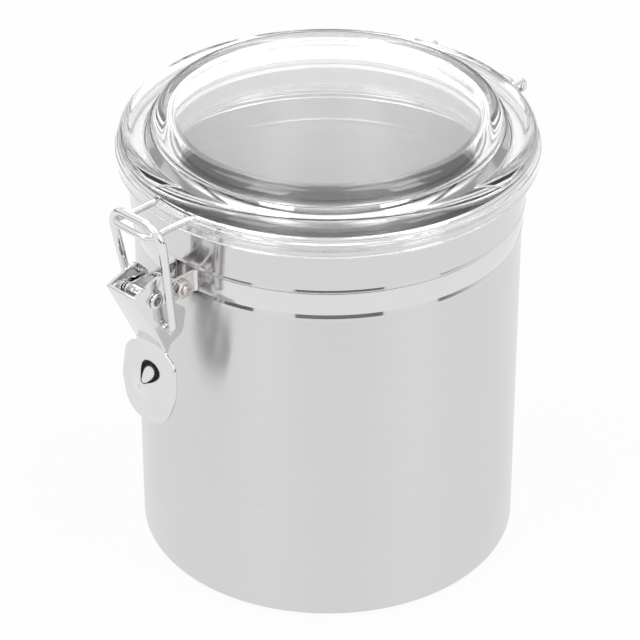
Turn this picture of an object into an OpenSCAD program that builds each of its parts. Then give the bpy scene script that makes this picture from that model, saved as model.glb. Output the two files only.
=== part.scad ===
// Food canister: a drawn steel can with a clear plug lid, a wire bail and an
// over-centre lever latch. Millimetres. +Z up, the latch faces -Y, the hinge
// is at +Y, and the origin is the centre of the flat base.

/* [Can] */
// Outside diameter of the straight wall
can_d = 127; // [105:1:155]
// Height from the base to the top of the rim
can_h = 144.3; // [115:0.1:200]
// Thickness of the steel sheet
sheet = 0.7; // [0.5:0.05:0.9]
// Outside radius of the corner round the base
base_corner_r = 3.7; // [2:0.1:8]
// How far the neck stands out from the wall
neck_step = 0.8; // [0.4:0.1:1.2]
// Height of the neck above the band
neck_h = 18.4; // [16:0.1:24]
// How deep the band's groove is pressed into the wall
groove_depth = 0.5; // [0.3:0.1:0.8]
// Radius of the curl that finishes the rim
rim_r = 0.6; // [0.4:0.05:0.8]

/* [Band] */
// Width of the strap
band_w = 7.6; // [6:0.1:9.6]
// Thickness of the strap
band_t = 0.8; // [0.6:0.05:1]
// Clearance between the strap and the groove
band_gap = 0.1; // [0.05:0.05:0.3]
// Inside radius of the bends where the strap turns out into the lugs
lug_bend_r = 1.4; // [0.8:0.1:2]
// Distance between the inner faces of the two lugs
lug_span = 7.4; // [6:0.1:8]
// Metal left beyond the centre of the pivot hole
lug_end = 3.6; // [3:0.1:4]

/* [Latch pivot and clamp screw] */
// How far the pivot stands out from the wall
pivot_out = 19; // [17:0.1:23]
// How far the pivot lies above the middle of the strap
pivot_rise = 1.1; // [0:0.1:1.3]
// Shank diameter of the hollow rivet
rivet_d = 3.9; // [3:0.1:4]
// Hole through the hollow rivet
rivet_hole_d = 3; // [2:0.1:3]
// Diameter of the rivet's rolled ends
rivet_head_d = 5.4; // [5:0.1:6]
// Height of the rivet's rolled ends
rivet_head_h = 0.6; // [0.4:0.1:0.8]
// Thread diameter of the clamp screw
screw_d = 3; // [2:0.1:3]
// How far the clamp screw stands out from the wall
screw_out = 7; // [6.2:0.1:7.3]
// Diameter of the screw head
screw_head_d = 5.5; // [4.6:0.1:5.6]
// Height of the screw head
screw_head_h = 1.8; // [1.2:0.1:2.2]
// Width of the nut across its flats
nut_af = 5.5; // [4.5:0.1:5.5]
// Height of the nut
nut_h = 2.3; // [1.6:0.1:2.6]

/* [Lever] */
// Width over the two cheeks
lever_w = 12.5; // [12:0.1:13]
// Thickness of the lever's sheet
lever_t = 1; // [0.8:0.05:1.2]
// Length of the sloping web from its open end to the neck
web_l = 27.7; // [26:0.1:30]
// Width of the thumb tab
tab_w = 24.8; // [18:0.1:30]
// Length of the thumb tab below the neck
tab_l = 28.6; // [24:0.1:34]
// Slope of the thumb tab away from the wall
tab_lean = 6; // [0:0.5:10]
// Radius of the pressed cone on the tab
cone_r = 8.4; // [5:0.1:9]
// Height of the pressed cone
cone_h = 3.8; // [2:0.1:5]
// Distance from the pivot in to the link's holes
hole_in = 4.6; // [4:0.1:5]
// Distance from the pivot down to the link's holes
hole_down = 12; // [11:0.1:13]

/* [Wires] */
// Wire diameter of the lid's bail
bail_d = 2.1; // [1.8:0.1:2.2]
// Wire diameter of the link
link_d = 2.8; // [2.4:0.1:2.9]
// Distance between the link's legs at the top, centre to centre
link_top_w = 23.2; // [23:0.1:25]
// Distance between the link's legs at the bottom, centre to centre
link_foot_w = 17.2; // [17:0.1:19]
// Bend radius at the link's top corners
link_bend_r = 4.2; // [3:0.1:5]
// How far the bail's loop reaches out from the ring
loop_out = 19.7; // [18:0.1:22]
// Width of the bail's loop where it leaves the ring, centre to centre
loop_w = 15.4; // [13:0.1:16]
// Width of the loop's front bar, corner to corner
loop_bar_w = 16.6; // [15.8:0.1:17]
// Distance between the bail's hinge legs, centre to centre
hinge_leg_w = 40; // [34:0.5:46]
// Length of wire inside each end of the hinge tube
hinge_grip = 9; // [6:0.5:12]

/* [Lid] */
// Height of the lid's flange, from its top down to the lip's edge
flange_h = 11.9; // [11.2:0.1:14]
// How far the raised centre stands above the flange
crown_h = 5.1; // [2:0.1:10]
// Width of the flange between the crown and the outer edge
flange_w = 12.9; // [11:0.1:16]
// Thickness of the clear top
lid_top_t = 3; // [2:0.1:4]
// Thickness of the plug's wall below the crown
plug_t = 6; // [4:0.1:9]
// Depth of the plug below the rim
plug_depth = 10.5; // [9.4:0.1:14]
// Height of the seal
seal_h = 6.6; // [5:0.1:7]
// Width of the seal from the plug to the tips of its fins
seal_w = 4.9; // [3:0.1:5]

/* [Hinge] */
// Thickness of the hinge bracket's sheet
bracket_t = 1; // [0.8:0.05:1.2]
// Width of the hinge bracket
bracket_w = 28; // [22:0.5:28]
// Outside diameter of the rolled hinge tube
knuckle_d = 4.4; // [4:0.1:5]
// How far the hinge axis stands out from the wall
hinge_out = 9.5; // [9:0.1:12]
// How far the hinge axis lies below the top of the rim
hinge_drop = 1.1; // [0.5:0.1:1.5]

/* [Hidden] */
$fn = 96;

// Clearances
pin_gap = 0.05;   // between a turning pin and its hole, on the radius
face_gap = 0.15;  // between flat faces that slide past each other
seat_gap = 0.3;   // between the closed lid and the can
latch_gap = 1.2;  // between the link's bar and the bail's loop when latched
eps = 0.01;
collar_l = 0.3;   // length of the collar where a wire's straight meets its bend
collar_t = 0.06;  // how much that collar stands out, on the diameter

// Heights and radii that several pieces share
can_r = can_d / 2;
neck_r = can_r + neck_step;
neck_bore_r = neck_r - sheet;
neck_z = can_h - neck_h;
groove_r = can_r - groove_depth;
band_r = groove_r + band_gap + band_t;
band_top_z = neck_z - 2 * band_gap;
band_z = band_top_z - band_w / 2;
groove_low_z = band_top_z - band_w - 2 * band_gap;
shoulder = 0.5;   // height of the slopes above and below the groove
rim_lean = 0.35;  // how far the rim's curl leans out over the neck

pivot_y = -(can_r + pivot_out);
pivot_z = band_z + pivot_rise;
screw_y = -(can_r + screw_out);
lug_x = lug_span / 2 + band_t;

ring_r = neck_r + rim_r + 2.4;
ring_z = can_h + 2.9;
bail_gap = 0.05;
groove_bore_r = bail_d / 2 + bail_gap;
lid_r = ring_r + 1.6;
lip_r = ring_r + 1.3;
lip_bore_r = neck_r + 2 * rim_r + 0.1;
flange_top_z = ring_z + 5.7;
lip_z = flange_top_z - flange_h;
crown_r = lid_r - flange_w;
lid_top_z = flange_top_z + crown_h;
lid_seat_z = can_h + seat_gap;
seal_r = neck_bore_r - seat_gap;
plug_r = seal_r - seal_w;
plug_foot_z = can_h - plug_depth;
seal_z = plug_foot_z + 0.8;

hinge_y = can_r + hinge_out;
hinge_z = can_h - hinge_drop;

hole_y = pivot_y + hole_in;
hole_z = pivot_z - hole_down;
loop_y = -(ring_r + loop_out);
bar_y = loop_y + (bail_d + link_d) / 2;
bar_z = ring_z + (bail_d + link_d) / 2 + latch_gap;

// ---- Outlines and wires ----

function unit(v) = v / norm(v);
function flat(p) = [p[0], p[1]];

// Points of the arc of radius r that rounds the corner b between a and c
function corner_arc(a, b, c, r, steps) =
    r <= 0 ? [b] :
    let (u = unit(a - b), v = unit(c - b), half = acos(u * v) / 2,
         centre = b + unit(u + v) * r / sin(half),
         from = b + u * r / tan(half) - centre,
         to = b + v * r / tan(half) - centre,
         start = atan2(from[1], from[0]),
         sweep = (atan2(to[1], to[0]) - start + 540) % 360 - 180)
    [for (i = [0:steps]) centre + r * [cos(start + sweep * i / steps), sin(start + sweep * i / steps)]];

// A closed outline whose corners are given as [x, y, radius]
function rounded(p, steps = 8) =
    [for (i = [0:len(p) - 1])
        each corner_arc(flat(p[(i + len(p) - 1) % len(p)]), flat(p[i]), flat(p[(i + 1) % len(p)]), p[i][2], steps)];

// A straight piece of wire from p to q
module wire_straight(p, q, d) {
    v = q - p;
    translate(p)
        rotate([0, acos(v[2] / norm(v)), atan2(v[1], v[0])])
            cylinder(h = norm(v), d = d, $fn = 32);
}

// The bend of radius r at corner b, between the straights to a and to c
module wire_bend(a, b, c, d, r) {
    u = unit(a - b);
    v = unit(c - b);
    half = acos(u * v) / 2;
    centre = b + unit(u + v) * r / sin(half);
    x = unit(b + u * r / tan(half) - centre);
    z = unit(cross(x, b + v * r / tan(half) - centre));
    y = cross(z, x);
    multmatrix([[x[0], y[0], z[0], centre[0]], [x[1], y[1], z[1], centre[1]],
                [x[2], y[2], z[2], centre[2]], [0, 0, 0, 1]])
        rotate_extrude(angle = 180 - 2 * half)
            translate([r, 0]) circle(d = d, $fn = 32);
}

function bend_trim(a, b, c, r) = r / tan(acos(unit(a - b) * unit(c - b)) / 2);

// A collar thinner than a hair, centred on p, joins a straight to its bend
module wire_collar(p, u, d) {
    wire_straight(p - u * collar_l / 2, p + u * collar_l / 2, d + collar_t);
}

// A wire along points p, with bend radius r[i] at p[i]
module wire(p, r, d) {
    last = len(p) - 1;
    for (i = [0:last - 1]) {
        u = unit(p[i + 1] - p[i]);
        from = p[i] + u * (i == 0 ? 0 : bend_trim(p[i - 1], p[i], p[i + 1], r[i]));
        to = p[i + 1] - u * (i == last - 1 ? 0 : bend_trim(p[i], p[i + 1], p[i + 2], r[i + 1]));
        wire_straight(from, to, d);
        if (i > 0) wire_collar(from, u, d);
        if (i < last - 1) wire_collar(to, u, d);
    }
    for (i = [1:last - 1]) wire_bend(p[i - 1], p[i], p[i + 1], d, r[i]);
}

module both_sides() {
    children();
    mirror([1, 0, 0]) children();
}

// A round bar or hole along X
module x_bar(x0, x1, y, z, d) {
    translate([x0, y, z]) rotate([0, 90, 0]) cylinder(h = x1 - x0, d = d);
}

// A sheet from x0 to x1 whose outline is drawn in Y and Z
module x_plate(x0, x1) {
    translate([x0, 0, 0]) rotate([90, 0, 90]) linear_extrude(x1 - x0) children();
}

// ---- Can ----

// Half section of the can as if it were solid, with its wall moved in by depth
module can_half(depth, top) {
    r = can_r - depth;
    polygon(concat([[0, depth]], corner_arc([0, depth], [r, depth], [r, top], base_corner_r - depth, 12),
        [[r, groove_low_z - shoulder], [r - groove_depth, groove_low_z], [r - groove_depth, neck_z],
         [r + neck_step, neck_z + shoulder], [r + neck_step, top], [0, top]]));
}

module can_shell() {
    color("lightsteelblue") rotate_extrude($fn = 180) {
        difference() {
            can_half(0, can_h - rim_r);
            can_half(sheet, can_h);
        }
        translate([neck_r - sheet + rim_r + rim_lean, can_h - rim_r]) circle(r = rim_r, $fn = 32);
    }
}

// ---- Band, screw, nut and rivet ----

module lug_outline(root_y) {
    end_y = pivot_y - lug_end;
    polygon(rounded([[root_y, band_top_z - band_w, 0], [root_y, band_top_z, 0],
        [end_y, band_top_z, 1.8], [end_y, band_top_z - band_w, 3.2]]));
}

module clamp_band() {
    bend_c = [lug_x + lug_bend_r, -sqrt(pow(band_r + lug_bend_r, 2) - pow(lug_x + lug_bend_r, 2))];
    color("silver") {
        translate([0, 0, band_top_z - band_w]) linear_extrude(band_w) {
            difference() {
                circle(r = band_r, $fn = 180);
                circle(r = band_r - band_t, $fn = 180);
                polygon([[0, 0], 2 * bend_c, 2 * [-bend_c[0], bend_c[1]]]);
            }
            both_sides() intersection() {
                translate(bend_c) difference() {
                    circle(r = lug_bend_r + band_t);
                    circle(r = lug_bend_r);
                }
                polygon([bend_c, bend_c - [10, 0], [0, 0]]);
            }
        }
        both_sides() difference() {
            x_plate(lug_x - band_t, lug_x) lug_outline(bend_c[1]);
            x_bar(0, 10, pivot_y, pivot_z, rivet_d);
            x_bar(0, 10, screw_y, band_z, screw_d + 0.2);
        }
    }
}

module clamp_screw() {
    color("gainsboro") difference() {
        union() {
            x_bar(-lug_x - eps, lug_x + nut_h + 0.7, screw_y, band_z, screw_d);
            x_bar(-lug_x - screw_head_h, -lug_x, screw_y, band_z, screw_head_d);
        }
        for (turn = [0, 90])
            translate([-lug_x - screw_head_h - eps, screw_y, band_z]) rotate([turn, 0, 0])
                translate([0, -0.35, -1.5]) cube([1, 0.7, 3]);
    }
}

module clamp_nut() {
    color("gainsboro") difference() {
        translate([lug_x, screw_y, band_z]) rotate([0, 90, 0]) rotate(90)
            cylinder(h = nut_h, d = nut_af / cos(30), $fn = 6);
        x_bar(lug_x - 1, lug_x + nut_h + 1, screw_y, band_z, screw_d);
    }
}

module pivot_rivet() {
    head_x = lever_w / 2 + face_gap;
    color("silver") difference() {
        union() {
            x_bar(-head_x, head_x, pivot_y, pivot_z, rivet_d);
            both_sides() translate([head_x - eps, pivot_y, pivot_z]) rotate([0, 90, 0])
                rotate_extrude() polygon(rounded([[0, 0, 0], [rivet_head_d / 2, 0, 0.1],
                    [rivet_head_d / 2, rivet_head_h, 0.4], [0, rivet_head_h, 0]], 4));
        }
        x_bar(-lever_w, lever_w, pivot_y, pivot_z, rivet_hole_d);
    }
}

// ---- Hinge ----

module hinge_bracket() {
    foot_z = band_top_z - band_w;
    bend_z = band_top_z - 1;
    clear_r = neck_r + 0.3;
    wall = bracket_t * 1.15;
    top_r = hinge_y - 0.4;
    top_z = hinge_z - knuckle_d / 2 + 1;
    color("silver") difference() {
        union() {
            intersection() {
                rotate_extrude($fn = 180) polygon([[band_r, foot_z], [band_r + bracket_t, foot_z],
                    [band_r + bracket_t, bend_z], [clear_r + wall, neck_z], [top_r + wall, top_z],
                    [top_r, top_z], [clear_r, neck_z], [band_r, bend_z]]);
                translate([-bracket_w / 2, 0, 0]) cube([bracket_w, can_d, can_h * 2]);
            }
            x_bar(-bracket_w / 2, bracket_w / 2, hinge_y, hinge_z, knuckle_d);
        }
        x_bar(-bracket_w, bracket_w, hinge_y, hinge_z, bail_d + 2 * pin_gap);
    }
}

// ---- Lid, seal and bail ----

module lid() {
    groove_low = ring_z - groove_bore_r;
    groove_top = ring_z + groove_bore_r;
    groove_floor = ring_r - groove_bore_r;
    cavity_r = crown_r + 1 - plug_t;
    color("aliceblue") rotate_extrude($fn = 180) polygon(rounded([
        [0, lid_top_z, 0], [crown_r, lid_top_z, 4], [crown_r, flange_top_z, 1],
        [lid_r, flange_top_z, 4], [lid_r, groove_top, 0.3],
        [groove_floor, groove_top, groove_bore_r - eps], [groove_floor, groove_low, groove_bore_r - eps],
        [lip_r, groove_low, 0.3], [lip_r, lip_z, 0.8], [lip_bore_r, lip_z, 0.5],
        [lip_bore_r, lid_seat_z, 0.4], [plug_r + 0.9, lid_seat_z, 0.4],
        [plug_r + 0.9, seal_z + seal_h, 0.2], [plug_r, seal_z + seal_h, 0],
        [plug_r, seal_z, 0], [plug_r + 0.9, seal_z, 0.2], [plug_r + 0.9, plug_foot_z, 0.5],
        [cavity_r, plug_foot_z, 1], [cavity_r, lid_top_z - lid_top_t, 2], [0, lid_top_z - lid_top_t, 0]]));
}

module lid_seal() {
    fins = 3;
    pitch = seal_h / fins;
    root_r = plug_r + 1.6;
    color("whitesmoke") rotate_extrude($fn = 180) union() {
        translate([plug_r, seal_z]) square([root_r - plug_r, seal_h]);
        for (i = [0:fins - 1]) {
            low = seal_z + i * pitch;
            polygon([[root_r - eps, low + 0.3], [seal_r - 0.1 * (fins - 1 - i), low + 1.2],
                [seal_r - 0.1 * (fins - 1 - i), low + 1.6], [root_r - eps, low + pitch - 0.3]]);
        }
    }
}

// Point of the bail's ring at x, on the latch side (sign -1) or hinge side (+1)
function ring_point(x, sign) = [x, sign * sqrt(ring_r * ring_r - x * x), ring_z];

// Where the ring's tangent at x = from meets x = to
function ring_corner(from, to, sign) =
    let (p = ring_point(from, sign), a = asin(from / ring_r))
    [to, p[1] + sign * (from - to) * tan(a), ring_z];

module lid_bail() {
    front_x = loop_w / 2 + 3.2;
    back_x = hinge_leg_w / 2 + 3.2;
    front_a = asin(front_x / ring_r);
    back_a = asin(back_x / ring_r);
    knee_y = -(ring_r + 0.6 * loop_out);
    half_loop = [ring_point(front_x, -1), ring_corner(front_x, loop_w / 2, -1),
                 [loop_w / 2, knee_y, ring_z], [loop_bar_w / 2, loop_y, ring_z]];
    color("gainsboro") {
        wire(concat(half_loop, [for (i = [3:-1:0]) [-half_loop[i][0], half_loop[i][1], half_loop[i][2]]]),
             [0, 2, 8, 2.4, 2.4, 8, 2, 0], bail_d);
        both_sides() {
            translate([0, 0, ring_z]) rotate(front_a - 90)
                rotate_extrude(angle = 180 - front_a - back_a, $fn = 180)
                    translate([ring_r, 0]) circle(d = bail_d, $fn = 32);
            wire_collar(ring_point(front_x, -1), [cos(front_a), sin(front_a), 0], bail_d);
            wire_collar(ring_point(back_x, 1), [cos(back_a), -sin(back_a), 0], bail_d);
            wire([ring_point(back_x, 1), ring_corner(back_x, hinge_leg_w / 2, 1),
                  [hinge_leg_w / 2, hinge_y, ring_z], [hinge_leg_w / 2, hinge_y, hinge_z],
                  [bracket_w / 2 - hinge_grip, hinge_y, hinge_z]],
                 [0, 3, 1.7, 1.7, 0], bail_d);
        }
    }
}

// ---- Lever and link ----

// Places a shape, drawn in Y and Z from the pivot, on the latch
module at_pivot() { translate([pivot_y, pivot_z]) children(); }

web_dir = unit([12.3, -24.9]);
web_in = [-web_dir[1], web_dir[0]];
web_top = [-9.4, 4.5];
web_foot = web_top + web_dir * web_l;
tab_dir = [-sin(tab_lean), -cos(tab_lean)];

module cheek_outline() {
    foot = web_foot;
    polygon(rounded([[web_top[0], web_top[1], 0.6], [-3.6, 6.4, 6], [2.6, 8.4, 3.5], [7.4, 3.2, 1.2], [7.7, -4, 2],
        [12.4, -8, 2.5], [10.8, -16, 3], [5.2, -18.4, 3], [foot[0] + 1.4, foot[1] - 0.6, 0], [foot[0], foot[1], 0]], 6));
}

module tab_outline() {
    w = tab_w / 2;
    neck = lever_w / 2;
    half = [[neck, -1, 0], [neck, 0, 1.5], [w - 0.6, 3.6, 5], [w + 0.2, tab_l * 0.56, 9], [w * 0.62, tab_l, 7.5]];
    polygon(rounded(concat(half, [for (i = [4:-1:0]) [-half[i][0], half[i][1], half[i][2]]])));
}

// Places a shape drawn flat, with Y running down the tab, on the tab's face
module on_tab() {
    top = web_foot - web_dir * 0.4;
    translate([0, pivot_y + top[0], pivot_z + top[1]])
        rotate([90 + tab_lean, 0, 180]) mirror([0, 1, 0]) mirror([1, 0, 0]) children();
}

module latch_lever() {
    cone_y = tab_l * 0.48;
    color("gainsboro") difference() {
        union() {
            both_sides() difference() {
                x_plate(lever_w / 2 - lever_t, lever_w / 2) at_pivot() cheek_outline();
                x_bar(0, lever_w, pivot_y, pivot_z, rivet_d + 2 * pin_gap);
                x_bar(0, lever_w, hole_y, hole_z, link_d + 2 * pin_gap);
            }
            x_plate(-lever_w / 2, lever_w / 2) at_pivot()
                polygon([web_top, web_foot, web_foot + web_in * lever_t + [0, -0.4], web_top + web_in * lever_t]);
            on_tab() translate([0, 0, -lever_t]) linear_extrude(lever_t) tab_outline();
            on_tab() translate([0, cone_y, -eps]) rotate_extrude()
                polygon([[0, 0], [cone_r, 0], [1.6, cone_h - 0.5], [0.8, cone_h], [0, cone_h]]);
        }
        on_tab() translate([0, cone_y, -lever_t]) rotate_extrude()
            polygon([[0, -eps], [cone_r, -eps], [cone_r - 0.4, 0], [1.6, cone_h - 0.6], [0.7, cone_h - 0.1], [0, cone_h - 0.1]]);
    }
}

module latch_link() {
    foot_x = link_foot_w / 2;
    top_x = link_top_w / 2;
    pin_x = lever_w / 2 - lever_t - 0.7;
    color("gainsboro")
        wire([[pin_x, hole_y, hole_z], [foot_x, hole_y, hole_z], [top_x, bar_y, bar_z],
              [-top_x, bar_y, bar_z], [-foot_x, hole_y, hole_z], [-pin_x, hole_y, hole_z]],
             [0, 2, link_bend_r, link_bend_r, 2, 0], link_d);
}

can_shell();
clamp_band();
clamp_screw();
clamp_nut();
pivot_rivet();
hinge_bracket();
lid();
lid_seal();
lid_bail();
latch_lever();
latch_link();
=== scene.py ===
"""Food canister: a brushed steel can, a clear plug lid, a wire bail and an
over-centre lever latch. Each operator dresses one group of pieces."""

import math

import bmesh
import bpy
from mathutils import Matrix, Vector


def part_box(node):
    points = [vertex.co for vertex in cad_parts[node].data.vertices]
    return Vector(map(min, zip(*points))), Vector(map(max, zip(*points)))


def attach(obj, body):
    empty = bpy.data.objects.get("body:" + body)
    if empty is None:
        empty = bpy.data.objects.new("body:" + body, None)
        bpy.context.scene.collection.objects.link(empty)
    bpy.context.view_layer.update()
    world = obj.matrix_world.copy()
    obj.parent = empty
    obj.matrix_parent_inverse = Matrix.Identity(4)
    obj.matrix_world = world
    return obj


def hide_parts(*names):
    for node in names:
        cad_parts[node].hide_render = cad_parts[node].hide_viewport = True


bl_info = {
    "name": "Food canister",
    "version": (1, 0, 0),
    "blender": (4, 5, 0),
    "location": "3D View > Sidebar > Canister",
    "description": "Steel food canister with a clear lid and a lever latch",
    "category": "Object",
}

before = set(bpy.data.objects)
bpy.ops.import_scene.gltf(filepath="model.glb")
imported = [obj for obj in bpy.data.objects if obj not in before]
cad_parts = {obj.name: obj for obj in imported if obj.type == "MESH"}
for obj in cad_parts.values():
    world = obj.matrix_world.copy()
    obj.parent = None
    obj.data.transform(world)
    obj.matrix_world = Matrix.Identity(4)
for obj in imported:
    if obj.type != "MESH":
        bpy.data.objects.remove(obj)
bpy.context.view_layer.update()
MM = 0.001

# Where the lever turns on its rivet and the link turns in the lever, as (y, z) in mm
RIVET = (-82.5, 123.0)
LINK_HOLE = (-77.9, 111.0)


# ---- Colours, nodes and meshes ----

def srgb(code):
    """Linear RGBA of a hex sRGB colour."""
    parts = [int(code[i:i + 2], 16) / 255 for i in (1, 3, 5)]
    return [c / 12.92 if c <= 0.04045 else ((c + 0.055) / 1.055) ** 2.4 for c in parts] + [1.0]


def add(tree, kind, inputs=None, **settings):
    """Adds one node. An input given as a socket is linked, and any other value is set."""
    new = tree.nodes.new(kind)
    for name, value in settings.items():
        setattr(new, name, value)
    for name, value in (inputs or {}).items():
        if isinstance(value, bpy.types.NodeSocket):
            tree.links.new(value, new.inputs[name])
        else:
            new.inputs[name].default_value = value
    return new


def corner_arc(a, b, c, radius, steps):
    """Points of the arc that rounds corner b between a and c, in two or three dimensions."""
    if radius <= 0:
        return [b]
    u, v = (a - b).normalized(), (c - b).normalized()
    half = u.angle(v) / 2
    centre = b + (u + v).normalized() * radius / math.sin(half)
    first, last = b + u * radius / math.tan(half) - centre, b + v * radius / math.tan(half) - centre
    turn = first.angle(last)
    shares = [(math.sin(turn * (1 - i / steps)), math.sin(turn * i / steps)) for i in range(steps + 1)]
    return [centre + (first * near + last * far) / math.sin(turn) for near, far in shares]


def rounded(corners, steps=8):
    """An outline through corners (radius from the axis, height, rounding) in mm, its ends left sharp."""
    points = [Vector(c[:2]) for c in corners]
    out = [points[0]]
    for i in range(1, len(points) - 1):
        out += corner_arc(points[i - 1], points[i], points[i + 1], corners[i][2], steps)
    return out + [points[-1]]


def place(name, mesh, body, nodes, material=None, sharp=38):
    """Links a finished mesh as a piece that rides on a body and stands for its CAD nodes."""
    if material:
        mesh.materials.clear()
        mesh.materials.append(material)
    mesh.shade_smooth()
    mesh.set_sharp_from_angle(angle=math.radians(sharp))
    piece = bpy.data.objects.new(name, mesh)
    bpy.context.scene.collection.objects.link(piece)
    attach(piece, body)
    if nodes:
        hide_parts(*nodes)
    return piece


def lathe(name, outline, sides, loop=False):
    """A mesh turned about Z from an outline of (radius, height) in mm. An axis point is one vertex."""
    shape = bmesh.new()
    rings = []
    for r, z in outline:
        turns = [2 * math.pi * i / sides for i in range(1 if r < 1e-6 else sides)]
        rings.append([shape.verts.new((r * MM * math.sin(t), -r * MM * math.cos(t), z * MM)) for t in turns])
    pairs = list(zip(rings, rings[1:])) + ([(rings[-1], rings[0])] if loop else [])
    for low, high in pairs:
        if len(low) == len(high) == 1:
            continue
        for i in range(sides):
            j = (i + 1) % sides
            corners = [low[i % len(low)], low[j % len(low)], high[j % len(high)], high[i % len(high)]]
            shape.faces.new(list(dict.fromkeys(corners)))
    bmesh.ops.remove_doubles(shape, verts=shape.verts, dist=1e-8)
    bmesh.ops.recalc_face_normals(shape, faces=shape.faces)
    mesh = bpy.data.meshes.new(name)
    shape.to_mesh(mesh)
    shape.free()
    return mesh


def spaced(line, count):
    """Points at even steps along a closed outline, from its first point."""
    ends = line[1:] + line[:1]
    lengths = [(b - a).length for a, b in zip(line, ends)]
    step = sum(lengths) / count
    points, passed, i = [], 0.0, 0
    for k in range(count):
        while step * k - passed > lengths[i] and i < len(line) - 1:
            passed += lengths[i]
            i += 1
        points.append(line[i].lerp(ends[i], (step * k - passed) / max(lengths[i], 1e-9)))
    return points


def settled(holder, name):
    """The plain mesh that an object's modifiers give. The object itself is removed."""
    graph = bpy.context.evaluated_depsgraph_get()
    mesh = bpy.data.meshes.new_from_object(holder.evaluated_get(graph), depsgraph=graph)
    mesh.name = name
    bpy.data.objects.remove(holder)
    return mesh


def dressed(node, name, edge, flat=0.8, limit=32):
    """The CAD node's shape with its sharp edges broken by a small round, edge mm wide."""
    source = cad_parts[node].data
    mesh = bpy.data.meshes.new(name)
    mesh.from_pydata([v.co for v in source.vertices], [], [p.vertices for p in source.polygons])
    shape = bmesh.new()
    shape.from_mesh(mesh)
    bmesh.ops.remove_doubles(shape, verts=shape.verts, dist=1e-6)
    bmesh.ops.dissolve_limit(shape, angle_limit=math.radians(flat), verts=shape.verts, edges=shape.edges)
    shape.to_mesh(mesh)
    shape.free()
    holder = bpy.data.objects.new(name, mesh)
    bpy.context.scene.collection.objects.link(holder)
    bevel = holder.modifiers.new("broken_edges", "BEVEL")
    bevel.width, bevel.segments, bevel.limit_method = edge * MM, 2, "ANGLE"
    bevel.angle_limit = math.radians(limit)
    return settled(holder, name)


# ---- Geometry Nodes ----

def node_group(name, sockets):
    """An empty tree with the inputs given, and the sockets that they come in on."""
    tree = bpy.data.node_groups.new(name, "GeometryNodeTree")
    for label, kind in sockets:
        tree.interface.new_socket(label, in_out="INPUT", socket_type=kind)
    tree.interface.new_socket("Piece", in_out="OUTPUT", socket_type="NodeSocketGeometry")
    return tree, add(tree, "NodeGroupInput").outputs


def finish_group(tree, shape, finish):
    """Ends a tree: the shape made real and given its finish."""
    smooth = add(tree, "GeometryNodeSetShadeSmooth", {"Geometry": shape})
    real = add(tree, "GeometryNodeRealizeInstances", {"Geometry": smooth.outputs[0]})
    done = add(tree, "GeometryNodeSetMaterial", {"Geometry": real.outputs[0], "Material": finish})
    add(tree, "NodeGroupOutput", {0: done.outputs[0]})
    return tree


def wire_group():
    """Sweeps a round section along a path of edges."""
    tree, given = node_group("bent_wire", [("Path", "NodeSocketGeometry"), ("Wire diameter", "NodeSocketFloat"),
                                           ("Sides", "NodeSocketInt"), ("Finish", "NodeSocketMaterial")])
    path = add(tree, "GeometryNodeMeshToCurve", {"Mesh": given["Path"]})
    half = add(tree, "ShaderNodeMath", {0: given["Wire diameter"], 1: 0.5}, operation="MULTIPLY")
    section = add(tree, "GeometryNodeCurvePrimitiveCircle",
                  {"Resolution": given["Sides"], "Radius": half.outputs[0]})
    sweep = add(tree, "GeometryNodeCurveToMesh",
                {"Curve": path.outputs[0], "Profile Curve": section.outputs[0], "Fill Caps": True})
    return finish_group(tree, sweep.outputs[0], given["Finish"])


def stack_group():
    """Repeats a ring upwards at an even pitch."""
    tree, given = node_group("ring_stack", [("Ring", "NodeSocketGeometry"), ("Count", "NodeSocketInt"),
                                            ("Pitch", "NodeSocketFloat"), ("Finish", "NodeSocketMaterial")])
    step = add(tree, "ShaderNodeCombineXYZ", {"Z": given["Pitch"]})
    line = add(tree, "GeometryNodeMeshLine", {"Count": given["Count"], "Offset": step.outputs[0]})
    rings = add(tree, "GeometryNodeInstanceOnPoints", {"Points": line.outputs[0], "Instance": given["Ring"]})
    return finish_group(tree, rings.outputs[0], given["Finish"])


def thread_group():
    """A screw thread along X: a small section swept along a helix."""
    tree, given = node_group("screw_thread", [("Seed shape", "NodeSocketGeometry"), ("Turns", "NodeSocketFloat"),
                                              ("Radius", "NodeSocketFloat"), ("Length", "NodeSocketFloat"),
                                              ("Crest", "NodeSocketFloat"), ("Place", "NodeSocketVector"),
                                              ("Finish", "NodeSocketMaterial")])
    helix = add(tree, "GeometryNodeCurveSpiral", {
        "Resolution": 24, "Rotations": given["Turns"], "Start Radius": given["Radius"],
        "End Radius": given["Radius"], "Height": given["Length"]})
    crest = add(tree, "GeometryNodeCurvePrimitiveCircle", {"Resolution": 4, "Radius": given["Crest"]})
    sweep = add(tree, "GeometryNodeCurveToMesh",
                {"Curve": helix.outputs[0], "Profile Curve": crest.outputs[0], "Fill Caps": True})
    lay = add(tree, "GeometryNodeTransform", {"Geometry": sweep.outputs[0], "Translation": given["Place"],
                                              "Rotation": (0.0, math.pi / 2, 0.0)})
    return finish_group(tree, lay.outputs[0], given["Finish"])


def grown(name, mesh, tree, values):
    """The plain mesh that a node group grows from a mesh."""
    holder = bpy.data.objects.new(name, mesh)
    bpy.context.scene.collection.objects.link(holder)
    modifier = holder.modifiers.new(tree.name, "NODES")
    modifier.node_group = tree
    for item in tree.interface.items_tree:
        if item.in_out == "INPUT" and item.name in values:
            modifier[item.identifier] = values[item.name]
    return settled(holder, name)


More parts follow.
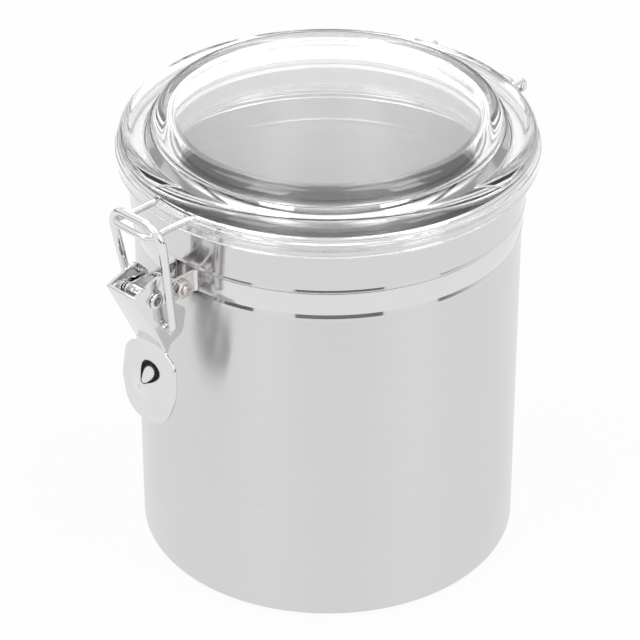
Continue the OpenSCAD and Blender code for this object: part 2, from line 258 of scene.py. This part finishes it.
def wire_path(name, corners, steps=8):
    """A chain of edges through corners (x, y, z, bend radius), in mm."""
    points = [Vector(c[:3]) for c in corners]
    chain = [points[0]]
    for i in range(1, len(points) - 1):
        chain += corner_arc(points[i - 1], points[i], points[i + 1], corners[i][3], steps)
    chain.append(points[-1])
    mesh = bpy.data.meshes.new(name)
    mesh.from_pydata([p * MM for p in chain], [(i, i + 1) for i in range(len(chain) - 1)], [])
    return mesh


# ---- Finishes ----

def metal(name, colour, rough, grain, stretch, depth, vary=0.06, radial=False):
    """A metal whose grain is noise: stretch is its size along X, Y and Z in mm, and grain its detail."""
    made = bpy.data.materials.new(name)
    made.use_nodes = True
    tree = made.node_tree
    tree.nodes.clear()
    where = add(tree, "ShaderNodeTexCoord")
    spread = add(tree, "ShaderNodeMapping",
                 {"Vector": where.outputs["Object"], "Scale": [1000 / s for s in stretch]})
    lines = add(tree, "ShaderNodeTexNoise",
                {"Vector": spread.outputs[0], "Scale": 1.0, "Detail": grain, "Roughness": 0.6})
    patches = add(tree, "ShaderNodeTexNoise", {"Vector": where.outputs["Object"], "Scale": 30.0, "Detail": 3.0})
    both = add(tree, "ShaderNodeMath", {0: lines.outputs[0], 1: patches.outputs[0]}, operation="ADD")
    gloss = add(tree, "ShaderNodeMapRange", {"Value": both.outputs[0], "From Min": 0.6, "From Max": 1.4,
                                             "To Min": rough - vary / 2, "To Max": rough + vary / 2})
    dark = [c * 0.93 for c in colour[:3]] + [1.0]
    tone = add(tree, "ShaderNodeMix", {0: lines.outputs[0], 6: dark, 7: list(colour)}, data_type="RGBA")
    bump = add(tree, "ShaderNodeBump", {"Height": lines.outputs[0], "Strength": depth, "Distance": 0.00005})
    surface = add(tree, "ShaderNodeBsdfPrincipled", {
        "Base Color": tone.outputs[2], "Metallic": 1.0, "Roughness": gloss.outputs[0], "Normal": bump.outputs[0],
        "Anisotropic": 0.85 if radial else 0.0, "Anisotropic Rotation": 0.25 if radial else 0.0})
    if radial:
        # The groove and the neck are polished again after the wall is brushed
        height = add(tree, "ShaderNodeSeparateXYZ", {0: where.outputs["Object"]})
        neck = add(tree, "ShaderNodeMapRange", {"Value": height.outputs["Z"], "From Min": 0.1150, "From Max": 0.1162,
                                                "To Min": 1.0, "To Max": 0.5})
        polished = add(tree, "ShaderNodeMath", {0: gloss.outputs[0], 1: neck.outputs[0]}, operation="MULTIPLY")
        tree.links.new(polished.outputs[0], surface.inputs["Roughness"])
        around = add(tree, "ShaderNodeTangent", direction_type="RADIAL", axis="Z")
        tree.links.new(around.outputs[0], surface.inputs["Tangent"])
    add(tree, "ShaderNodeOutputMaterial", {"Surface": surface.outputs[0]})
    return made


def clear(name, colour, ior, rough, transmission, ripple, size):
    """A clear or cloudy moulded material whose faint ripple is size mm across."""
    made = bpy.data.materials.new(name)
    made.use_nodes = True
    tree = made.node_tree
    tree.nodes.clear()
    where = add(tree, "ShaderNodeTexCoord")
    flow = add(tree, "ShaderNodeTexNoise",
               {"Vector": where.outputs["Object"], "Scale": 1000 / size, "Detail": 2.0})
    bump = add(tree, "ShaderNodeBump", {"Height": flow.outputs[0], "Strength": ripple, "Distance": 0.0001})
    gloss = add(tree, "ShaderNodeMapRange",
                {"Value": flow.outputs[0], "To Min": rough, "To Max": rough * 1.5 + 0.01})
    surface = add(tree, "ShaderNodeBsdfPrincipled", {
        "Base Color": list(colour), "Roughness": gloss.outputs[0], "IOR": ior,
        "Transmission Weight": transmission, "Normal": bump.outputs[0]})
    add(tree, "ShaderNodeOutputMaterial", {"Surface": surface.outputs[0]})
    return made


def finish(key):
    """Makes a finish the first time that it is asked for."""
    colours = bpy.context.scene.canister_colours
    if key in bpy.data.materials:
        return bpy.data.materials[key]
    # Drawn stainless steel, brushed as it turned: fine lines run round the wall and draw highlights out along its
    # height. The real lines are about 0.1 mm apart and are drawn 0.5 mm apart so that they show.
    if key == "brushed_stainless_wall":
        return metal(key, colours.can, rough=0.25, grain=3.0, stretch=(90, 90, 0.5), depth=0.03, radial=True)
    # Rolled stainless strip, polished: nearly a mirror, with faint lines along the strip from the rolls.
    if key == "polished_stainless_strip":
        return metal(key, colours.band, rough=0.13, grain=3.0, stretch=(40, 40, 0.4), depth=0.08)
    # Steel wire, drawn, polished and chrome plated: a clean mirror with very slight drawing marks.
    if key == "chromed_steel_wire":
        return metal(key, colours.wire, rough=0.05, grain=2.0, stretch=(3, 3, 3), depth=0.03, vary=0.03)
    # Pressed steel sheet, barrelled and chrome plated: a mirror whose reflections wander where the sheet was bent.
    if key == "chromed_pressed_sheet":
        return metal(key, colours.lever, rough=0.07, grain=1.0, stretch=(9, 9, 9), depth=0.35, vary=0.04)
    # Turned steel, nickel plated: warmer and duller than chrome, with a fine tumbled grain of about 0.3 mm.
    if key == "nickelled_turned_steel":
        return metal(key, colours.nickel, rough=0.24, grain=5.0, stretch=(0.3, 0.3, 0.3), depth=0.35, vary=0.12)
    # Acrylic (PMMA), injection moulded and polished: very clear, with a barely visible flow ripple 12 mm across.
    if key == "moulded_clear_acrylic":
        return clear(key, colours.acrylic, ior=1.49, rough=0.0, transmission=1.0, ripple=0.03, size=12)
    # Silicone rubber, moulded: milky and soft, with a satin skin that has a 1 mm grain.
    if key == "moulded_silicone":
        return clear(key, colours.silicone, ior=1.41, rough=0.35, transmission=0.25, ripple=0.5, size=1)
    raise ValueError(key)


# ---- Sizes and colours ----

class CanisterSizes(bpy.types.PropertyGroup):
    rim_roll: bpy.props.FloatProperty(name="Rim roll", description="Radius of the curl round the can's mouth, in mm",
                                      default=0.6, min=0.4, max=0.6)
    base_panel: bpy.props.FloatProperty(name="Base panel", description="Radius of the raised base, in mm",
                                        default=51.0, min=30, max=55)
    edge_round: bpy.props.FloatProperty(name="Edge round", description="Width of a broken sheet edge, in mm",
                                        default=0.16, min=0.02, max=0.3)
    bail_wire: bpy.props.FloatProperty(name="Bail wire", description="Diameter of the lid's wire",
                                       default=0.0021, unit="LENGTH")
    link_wire: bpy.props.FloatProperty(name="Link wire", description="Diameter of the latch's link",
                                       default=0.0028, unit="LENGTH")
    wire_sides: bpy.props.IntProperty(name="Wire sides", description="Faces round a wire", default=24, min=8, max=48)
    thread_pitch: bpy.props.FloatProperty(name="Thread pitch", description="Pitch of the clamp screw's thread, in mm",
                                          default=0.5, min=0.3, max=1)
    seal_fins: bpy.props.IntProperty(name="Seal fins", description="Fins round the lid's seal", default=3, min=1, max=4)


class CanisterColours(bpy.types.PropertyGroup):
    can: bpy.props.FloatVectorProperty(name="Can", description="Brushed stainless steel", subtype="COLOR",
                                       size=4, default=srgb("#dad9da"))
    band: bpy.props.FloatVectorProperty(name="Band", description="Polished stainless strip", subtype="COLOR",
                                        size=4, default=srgb("#e2e1e1"))
    wire: bpy.props.FloatVectorProperty(name="Wire", description="Chromed wire", subtype="COLOR",
                                        size=4, default=srgb("#e6e6e8"))
    lever: bpy.props.FloatVectorProperty(name="Lever", description="Chromed sheet", subtype="COLOR",
                                         size=4, default=srgb("#e2e1e2"))
    nickel: bpy.props.FloatVectorProperty(name="Screw", description="Nickelled steel", subtype="COLOR",
                                          size=4, default=srgb("#d9d4d1"))
    acrylic: bpy.props.FloatVectorProperty(name="Lid", description="Clear acrylic", subtype="COLOR",
                                           size=4, default=srgb("#fcfdfd"))
    silicone: bpy.props.FloatVectorProperty(name="Seal", description="Silicone rubber", subtype="COLOR",
                                            size=4, default=srgb("#f6f4f1"))


# ---- Operators ----

class CANISTER_OT_can(bpy.types.Operator):
    """Turns the drawn steel can with its groove, neck and rolled rim"""
    bl_idname = "canister.can"
    bl_label = "Can"

    def execute(self, context):
        sizes = context.scene.canister_sizes
        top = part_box("can_shell")[1].z / MM
        roll, panel = sizes.rim_roll, sizes.base_panel
        wall_r, groove_r, neck_r, sheet = 63.5, 63.0, 64.3, 0.7
        groove_low, groove_high = 117.9, 125.7
        centre = Vector((neck_r - 0.35 + roll, top - roll))
        curl = [centre + roll * Vector((math.cos(a), math.sin(a))) for a in
                [math.radians(d) for d in range(-100, 171, 15)]]
        outside = rounded([
            (0, 0.6, 0), (panel, 0.6, 1), (panel + 2, 0, 1), (wall_r, 0, 3.7), (wall_r, groove_low - 1.5, 1.0),
            (groove_r, groove_low, 0.4), (groove_r, groove_high, 0.4), (neck_r + 0.35, groove_high + 0.6, 0.35),
            (neck_r, groove_high + 1.7, 1.0), (neck_r, top - 1.3, 0)], 6)
        inside = rounded([
            (neck_r - sheet, top - 0.75, 0), (neck_r - sheet, groove_high + 1.7, 0.5),
            (groove_r - sheet, groove_high + 0.6, 0.5), (groove_r - sheet, groove_low, 0.5),
            (wall_r - sheet, groove_low - 0.5, 0.5), (wall_r - sheet, sheet, 3.0), (panel + 2.3, sheet, 1),
            (panel + 0.3, 0.6 + sheet, 1), (0, 0.6 + sheet, 0)], 6)
        mesh = lathe("can_wall", outside + curl + inside, 240)
        place("can_wall", mesh, "canister", ["can_shell"], finish("brushed_stainless_wall"))
        return {"FINISHED"}


class CANISTER_OT_band(bpy.types.Operator):
    """Dresses the clamp band with its two lugs, and the hinge bracket"""
    bl_idname = "canister.band"
    bl_label = "Band and hinge bracket"

    def execute(self, context):
        edge = context.scene.canister_sizes.edge_round
        for node, name in (("clamp_band", "strap_and_lugs"), ("hinge_bracket", "hinge_bracket_sheet")):
            place(name, dressed(node, name, edge * 1.8), "canister", [node],
                  finish("polished_stainless_strip"))
        return {"FINISHED"}


class CANISTER_OT_fixings(bpy.types.Operator):
    """Dresses the clamp screw with its thread, the nut and the hollow rivet"""
    bl_idname = "canister.fixings"
    bl_label = "Screw, nut and rivet"

    def execute(self, context):
        sizes = context.scene.canister_sizes
        nickel = finish("nickelled_turned_steel")
        place("clamp_screw_head", dressed("clamp_screw", "clamp_screw_head", 0.15), "canister", ["clamp_screw"],
              nickel)
        place("clamp_nut_hexagon", dressed("clamp_nut", "clamp_nut_hexagon", 0.3), "canister", ["clamp_nut"],
              nickel)
        length = 10.9
        seed = bpy.data.meshes.new("thread_seed")
        seed.from_pydata([(0, 0, 0)], [], [])
        thread = grown("clamp_screw_thread", seed, thread_group(), {
            "Turns": length / sizes.thread_pitch, "Radius": 1.43 * MM, "Length": length * MM, "Crest": 0.2 * MM,
            "Place": (-3.6 * MM, -70.5 * MM, 121.9 * MM), "Finish": nickel})
        place("clamp_screw_thread", thread, "canister", [])
        place("pivot_rivet_rolled", dressed("pivot_rivet", "pivot_rivet_rolled", 0.1, limit=50), "canister",
              ["pivot_rivet"], finish("chromed_pressed_sheet"))
        return {"FINISHED"}


class CANISTER_OT_lid(bpy.types.Operator):
    """Turns the clear lid: raised centre, flange, wire groove, lip and plug"""
    bl_idname = "canister.lid"
    bl_label = "Clear lid"

    def execute(self, context):
        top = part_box("lid")[1].z / MM
        outline = rounded([
            (0, top, 0), (55.6, top, 4.2), (56.6, 152.9, 1.6), (68.4, 152.9, 4.2), (67.75, 148.2, 0.4),
            (66.2, 148.3, 1.0), (66.2, 146.1, 1.0), (68.9, 146.1, 0.5), (68.6, 141.0, 0.8), (65.6, 141.0, 0.5), (65.6, 144.6, 0.4),
            (59.3, 144.6, 0.4), (59.3, 141.2, 0.2), (58.4, 141.2, 0.2), (58.4, 134.6, 0.2), (59.3, 134.6, 0.2),
            (59.3, 133.8, 0.5), (52.2, 133.8, 1), (51.8, top - 3, 3), (0, top - 3, 0)], 10)
        place("lid_clear", lathe("lid_clear", outline, 240), "lid", ["lid"],
              finish("moulded_clear_acrylic"), sharp=60)
        return {"FINISHED"}


class CANISTER_OT_seal(bpy.types.Operator):
    """Turns the silicone seal: a band round the plug and its fins"""
    bl_idname = "canister.seal"
    bl_label = "Seal"

    def execute(self, context):
        rubber = finish("moulded_silicone")
        low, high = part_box("lid_seal")
        count = context.scene.canister_sizes.seal_fins
        z, pitch = low.z / MM, (high.z - low.z) / MM / count
        root = rounded([(59.0, z, 0), (60.0, z, 0.3), (60.0, z + 6.6, 0.3), (58.5, z + 6.6, 0.1),
                        (58.5, z, 0.1), (59.0, z, 0)], 4)
        place("lid_seal_band", lathe("lid_seal_band", root[:-1], 192, loop=True), "lid", ["lid_seal"],
              rubber)
        fin = rounded([(59.8, z + 0.7, 0), (59.8, z + 0.3, 0), (63.3, z + 1.2, 0.25), (63.3, z + 1.6, 0.25),
                       (59.8, z + pitch - 0.3, 0), (59.8, z + 0.7, 0)], 4)
        stack = grown("lid_seal_fins", lathe("lid_seal_fin", fin[:-1], 192, loop=True), stack_group(),
                      {"Count": count, "Pitch": pitch * MM, "Finish": rubber})
        place("lid_seal_fins", stack, "lid", [])
        return {"FINISHED"}


class CANISTER_OT_wires(bpy.types.Operator):
    """Bends the lid's bail and the latch's link from chromed wire"""
    bl_idname = "canister.wires"
    bl_label = "Bail and link"

    def execute(self, context):
        sizes = context.scene.canister_sizes
        ring, z, rise = 67.3, 147.2, 0.45
        back, front = math.asin(23.2 / ring), math.asin(10.9 / ring)
        arc = [(ring * math.cos(a), ring * math.sin(a), z, 0) for a in
               [math.pi / 2 - back - (math.pi - back - front) * i / 72 for i in range(73)]]
        tangent = [(7.7, -ring * math.cos(front) - (10.9 - 7.7) * math.tan(front), z, 3.5),
                   (7.7, -79.12, z + 0.1, 8), (8.8, -87.0, z + rise, 3.9)]
        half = [(5, 73, 143.2, 0), (20, 73, 143.2, 1.7), (20, 73, z, 1.7),
                (20, ring * math.cos(back) + 3.2 * math.tan(back), z, 3)] + arc + tangent
        bail = wire_path("lid_bail_path", half + [(-x, y, h, r) for x, y, h, r in reversed(half)], 10)
        link = wire_path("latch_link_path", [
            (4.55, *LINK_HOLE, 0), (8.6, *LINK_HOLE, 2.6), (11.6, -84.55, 150.85, 6.8),
            (-11.6, -84.55, 150.85, 6.8), (-8.6, *LINK_HOLE, 2.6), (-4.55, *LINK_HOLE, 0)], 14)
        tree, chrome = wire_group(), finish("chromed_steel_wire")
        for name, path, size, body, node in (("lid_bail_wire", bail, sizes.bail_wire, "lid", "lid_bail"),
                                             ("latch_link_wire", link, sizes.link_wire, "link", "latch_link")):
            wire = grown(name, path, tree, {"Wire diameter": size, "Sides": sizes.wire_sides, "Finish": chrome})
            place(name, wire, body, [node])
        return {"FINISHED"}


def plate(name, outline, low, high):
    """A plate from low to high along X whose outline is given as (y, z), in mm."""
    shape = bmesh.new()
    face = shape.faces.new([shape.verts.new((low * MM, y * MM, z * MM)) for y, z in outline])
    thick = bmesh.ops.extrude_face_region(shape, geom=[face])["geom"]
    far_side = [v for v in thick if isinstance(v, bmesh.types.BMVert)]
    bmesh.ops.translate(shape, vec=((high - low) * MM, 0, 0), verts=far_side)
    bmesh.ops.recalc_face_normals(shape, faces=shape.faces)
    mesh = bpy.data.meshes.new(name)
    shape.to_mesh(mesh)
    shape.free()
    made = bpy.data.objects.new(name, mesh)
    bpy.context.scene.collection.objects.link(made)
    return made


class CANISTER_OT_lever(bpy.types.Operator):
    """Folds the pressed lever's channel and presses its thumb tab"""
    bl_idname = "canister.lever"
    bl_label = "Lever"

    def execute(self, context):
        sheet, half = 1.0, 6.25
        pivot = Vector(RIVET)
        down = Vector((12.3, -24.9)).normalized()
        into = Vector((-down.y, down.x))
        top = pivot + Vector((-9.4, 4.5))
        foot = top + down * 27.7
        corners = [(foot.x, foot.y, 0), (top.x, top.y, 0.6)]
        corners += [(pivot.x + y, pivot.y + z, r) for y, z, r in
                    ((-3.6, 6.4, 6), (2.6, 8.4, 3.5), (7.4, 3.2, 1.2), (7.7, -4, 2), (12.4, -8, 2.5),
                     (10.8, -16, 3), (5.2, -18.4, 3))]
        corners += [(foot.x + 1.4, foot.y - 0.6, 0), (foot.x, foot.y, 0)]
        channel = plate("lever_channel", rounded(corners, 10)[:-1], -half, half)
        back = Vector((40, 0))
        near, far = top + into * sheet - down * 9, foot + into * sheet + down * 9
        cuts = [plate("channel_hollow", [near, far, far + back, near + back], sheet - half, half - sheet)]
        for (y, z), r in ((RIVET, 2.0), (LINK_HOLE, 1.45)):
            ring = [(y + r * math.cos(t * math.pi / 24), z + r * math.sin(t * math.pi / 24)) for t in range(48)]
            cuts.append(plate("channel_hole", ring, -9, 9))
        for cut in cuts:
            less = channel.modifiers.new("cut", "BOOLEAN")
            less.operation, less.solver, less.object = "DIFFERENCE", "EXACT", cut
        edge = channel.modifiers.new("sheared_edges", "BEVEL")
        edge.width, edge.segments, edge.limit_method, edge.angle_limit = 0.28 * MM, 3, "ANGLE", math.radians(30)
        mesh = settled(channel, "lever_channel")
        for cut in cuts:
            bpy.data.objects.remove(cut)
        chrome = finish("chromed_pressed_sheet")
        place("lever_channel", mesh, "lever", ["latch_lever"], chrome)

        # The thumb tab: rings round a pressed cone, eased out to the tab's outline. The top rows bend back
        # into the plane of the sloping web.
        lean = math.radians(6)
        fall, out = Vector((-math.sin(lean), -math.cos(lean))), Vector((-math.cos(lean), math.sin(lean)))
        start = foot - down * 0.4
        middle = Vector((0, 13.4))
        side = [(half, -1.9, 0), (half, 0.6, 2.0), (11.3, 3.4, 5.5), (12.2, 15.0, 11), (8.2, 27.2, 9.5)]
        other_side = [(-x, v, r) for x, v, r in reversed(side)]
        count = 144
        rim = spaced(rounded([(0, -1.9, 0)] + side + other_side + [(0, -1.9, 0)], 10)[:-1], count)
        cone_r, cone_h = 8.4, 3.5

        def rise(point):
            s = min((point - middle).length / cone_r, 1.0)
            lift = cone_h * (1 - s) ** 1.3 - 0.45 * max(0.0, 1 - s / 0.14) ** 2
            u = 1.45 - point.y
            bend = 0.0 if u <= 0 else u * u / 10 if u < 3.16 else 1.0 + 0.632 * (u - 3.16)
            return lift + bend + 0.03

        radii = [0.5, 1.0, 1.5, 2.1, 2.8, 3.6, 4.6, 5.6, 6.6, 7.4, 8.0, 8.4]
        rows = [[middle + (p - middle).normalized() * r for p in rim] for r in radii]
        rows += [[a.lerp(p, t) for a, p in zip(rows[len(radii) - 1], rim)]
                 for t in (0.15, 0.3, 0.45, 0.6, 0.7, 0.8, 0.88, 0.95, 1.0)]

        def spot(point):
            y, z = start + fall * point.y + out * rise(point)
            return (point.x * MM, y * MM, z * MM)

        shape = bmesh.new()
        peak = shape.verts.new(spot(middle))
        rings = [[shape.verts.new(spot(p)) for p in row] for row in rows]
        for i in range(count):
            j = (i + 1) % count
            shape.faces.new((peak, rings[0][i], rings[0][j]))
            for inner, outer in zip(rings, rings[1:]):
                shape.faces.new((inner[i], outer[i], outer[j], inner[j]))
        bmesh.ops.recalc_face_normals(shape, faces=shape.faces)
        if sum(f.normal.y for f in shape.faces) > 0:
            bmesh.ops.reverse_faces(shape, faces=shape.faces)
        mesh = bpy.data.meshes.new("lever_thumb_tab")
        shape.to_mesh(mesh)
        shape.free()
        holder = bpy.data.objects.new("lever_thumb_tab", mesh)
        context.scene.collection.objects.link(holder)
        wall = holder.modifiers.new("sheet", "SOLIDIFY")
        wall.thickness, wall.offset = sheet * MM, -1.0
        edge = holder.modifiers.new("rounded_rim", "BEVEL")
        edge.width, edge.segments, edge.limit_method, edge.angle_limit = 0.3 * MM, 3, "ANGLE", math.radians(50)
        place("lever_thumb_tab", settled(holder, "lever_thumb_tab"), "lever", [], chrome)
        return {"FINISHED"}


def looked_at(tree):
    """1 for rays from the camera and those that metal and glass pass on, and 0 for light on matt surfaces."""
    rays = add(tree, "ShaderNodeLightPath").outputs
    seen = add(tree, "ShaderNodeMath", {0: rays["Is Camera Ray"], 1: rays["Is Glossy Ray"]}, operation="ADD")
    through = add(tree, "ShaderNodeMath", {0: seen.outputs[0], 1: rays["Is Transmission Ray"]},
                  operation="ADD", use_clamp=True)
    return through.outputs[0]


def aimed(where, direction):
    """The place of a lamp or camera that stands at a point and looks along a direction."""
    return Matrix.Translation(where) @ direction.to_track_quat("-Z", "Y").to_matrix().to_4x4()


def glow(name, colour, keep):
    """Matt where it takes a shadow, and white to the camera, metal and glass but for a share, keep."""
    made = bpy.data.materials.new(name)
    made.use_nodes = True
    tree = made.node_tree
    tree.nodes.clear()
    share = add(tree, "ShaderNodeMath", {0: looked_at(tree), 1: 1 - keep}, operation="MULTIPLY")
    matt = add(tree, "ShaderNodeBsdfDiffuse", {"Color": srgb(colour)})
    white = add(tree, "ShaderNodeEmission", {"Color": srgb("#ffffff"), "Strength": 1.0})
    mixed = add(tree, "ShaderNodeMixShader", {0: share.outputs[0], 1: matt.outputs[0], 2: white.outputs[0]})
    add(tree, "ShaderNodeOutputMaterial", {"Surface": mixed.outputs[0]})
    return made


def panel(name, corners, material):
    """A flat board of the stage."""
    mesh = bpy.data.meshes.new(name)
    mesh.from_pydata(corners, [], [list(range(len(corners)))])
    mesh.materials.append(material)
    board = bpy.data.objects.new(name, mesh)
    bpy.context.scene.collection.objects.link(board)
    return board


class CANISTER_OT_stage(bpy.types.Operator):
    """Sets the pale floor, dark flags, soft lamps, white surround and camera"""
    bl_idname = "canister.stage"
    bl_label = "Stage"

    def execute(self, context):
        scene = context.scene
        panel("floor", [(-4, -4, 0), (4, -4, 0), (4, 4, 0), (-4, 4, 0)], glow("floor_white", "#e8e8e8", 0.06))
        black = bpy.data.materials.new("flag_black")
        black.use_nodes = True
        black.node_tree.nodes["Principled BSDF"].inputs["Base Color"].default_value = srgb("#1c1c1c")
        black.node_tree.nodes["Principled BSDF"].inputs["Roughness"].default_value = 1.0
        # Dark flags stand low round the table, so that chrome and the lid's edges show a dark line
        low, high = 0.02, 0.27
        for i, (start, end) in enumerate(((-75, 4), (27, 74), (106, 165), (190, 235), (255, 278))):
            a, b = math.radians(start), math.radians(end)
            spots = [a + (b - a) * k / 6 for k in range(7)]
            base = [(1.5 * math.sin(t), -1.5 * math.cos(t), low) for t in spots]
            flag = panel("flag_%d" % i, base + [(x, y, high) for x, y, _ in reversed(base)], black)
            for ray in ("camera", "diffuse", "shadow", "transmission"):
                setattr(flag, "visible_" + ray, False)
        for name, where, size, power in (
                ("lamp_over_left", (-0.38, -0.50, 1.5), 0.85, 7.5), ("lamp_over_right", (0.46, 0.34, 1.5), 0.85, 7.5),
                ("lamp_left", (0.1, -1.5, 0.9), 0.7, 4.5), ("lamp_right", (1.5, 0.2, 0.9), 0.6, 4.0),
                ("lamp_back", (-0.9, 0.9, 1.0), 0.7, 3.0)):
            lamp = bpy.data.lights.new(name, "AREA")
            lamp.shape, lamp.size, lamp.energy = "SQUARE", size, power
            stand = bpy.data.objects.new(name, lamp)
            stand.matrix_world = aimed(where, Vector((0, 0, 0.07)) - Vector(where))
            scene.collection.objects.link(stand)
        world = bpy.data.worlds.new("white_surround")
        scene.world = world
        world.use_nodes = True
        tree = world.node_tree
        tree.nodes.clear()
        level = add(tree, "ShaderNodeMapRange", {"Value": looked_at(tree), "To Min": 0.35, "To Max": 1.0})
        sky = add(tree, "ShaderNodeBackground", {"Color": srgb("#ffffff"), "Strength": level.outputs[0]})
        add(tree, "ShaderNodeOutputWorld", {"Surface": sky.outputs[0]})
        camera = bpy.data.objects.new("camera", bpy.data.cameras.new("camera"))
        camera.data.lens, camera.data.sensor_width, camera.data.clip_start = 174.0, 36.0, 0.01
        camera.matrix_world = aimed((0.6144, -0.6290, 0.6254), Vector((-0.5946, 0.6051, -0.5295)))
        scene.collection.objects.link(camera)
        scene.camera = camera
        scene.view_settings.view_transform = "Standard"
        # Light crosses the lid's flange, lip and plug many times
        scene.cycles.max_bounces, scene.cycles.transmission_bounces, scene.cycles.glossy_bounces = 24, 20, 14
        return {"FINISHED"}


OPERATORS = (CANISTER_OT_can, CANISTER_OT_band, CANISTER_OT_fixings, CANISTER_OT_lid, CANISTER_OT_seal,
             CANISTER_OT_wires, CANISTER_OT_lever, CANISTER_OT_stage)


class CANISTER_PT_pieces(bpy.types.Panel):
    """Lists the canister's sizes, colours and pieces"""
    bl_label = "Canister"
    bl_idname = "CANISTER_PT_pieces"
    bl_space_type = "VIEW_3D"
    bl_region_type = "UI"
    bl_category = "Canister"

    def draw(self, context):
        for group in (context.scene.canister_sizes, context.scene.canister_colours):
            for name in group.__annotations__:
                self.layout.prop(group, name)
        for operator in OPERATORS:
            self.layout.operator(operator.bl_idname)


def register():
    for item in (CanisterSizes, CanisterColours, *OPERATORS, CANISTER_PT_pieces):
        bpy.utils.register_class(item)
    bpy.types.Scene.canister_sizes = bpy.props.PointerProperty(type=CanisterSizes)
    bpy.types.Scene.canister_colours = bpy.props.PointerProperty(type=CanisterColours)


def unregister():
    del bpy.types.Scene.canister_colours
    del bpy.types.Scene.canister_sizes
    for item in (CANISTER_PT_pieces, *reversed(OPERATORS), CanisterColours, CanisterSizes):
        bpy.utils.unregister_class(item)


def main():
    register()
    for operator in OPERATORS:
        group, name = operator.bl_idname.split(".")
        getattr(getattr(bpy.ops, group), name)()


if __name__ == "__main__":
    main()
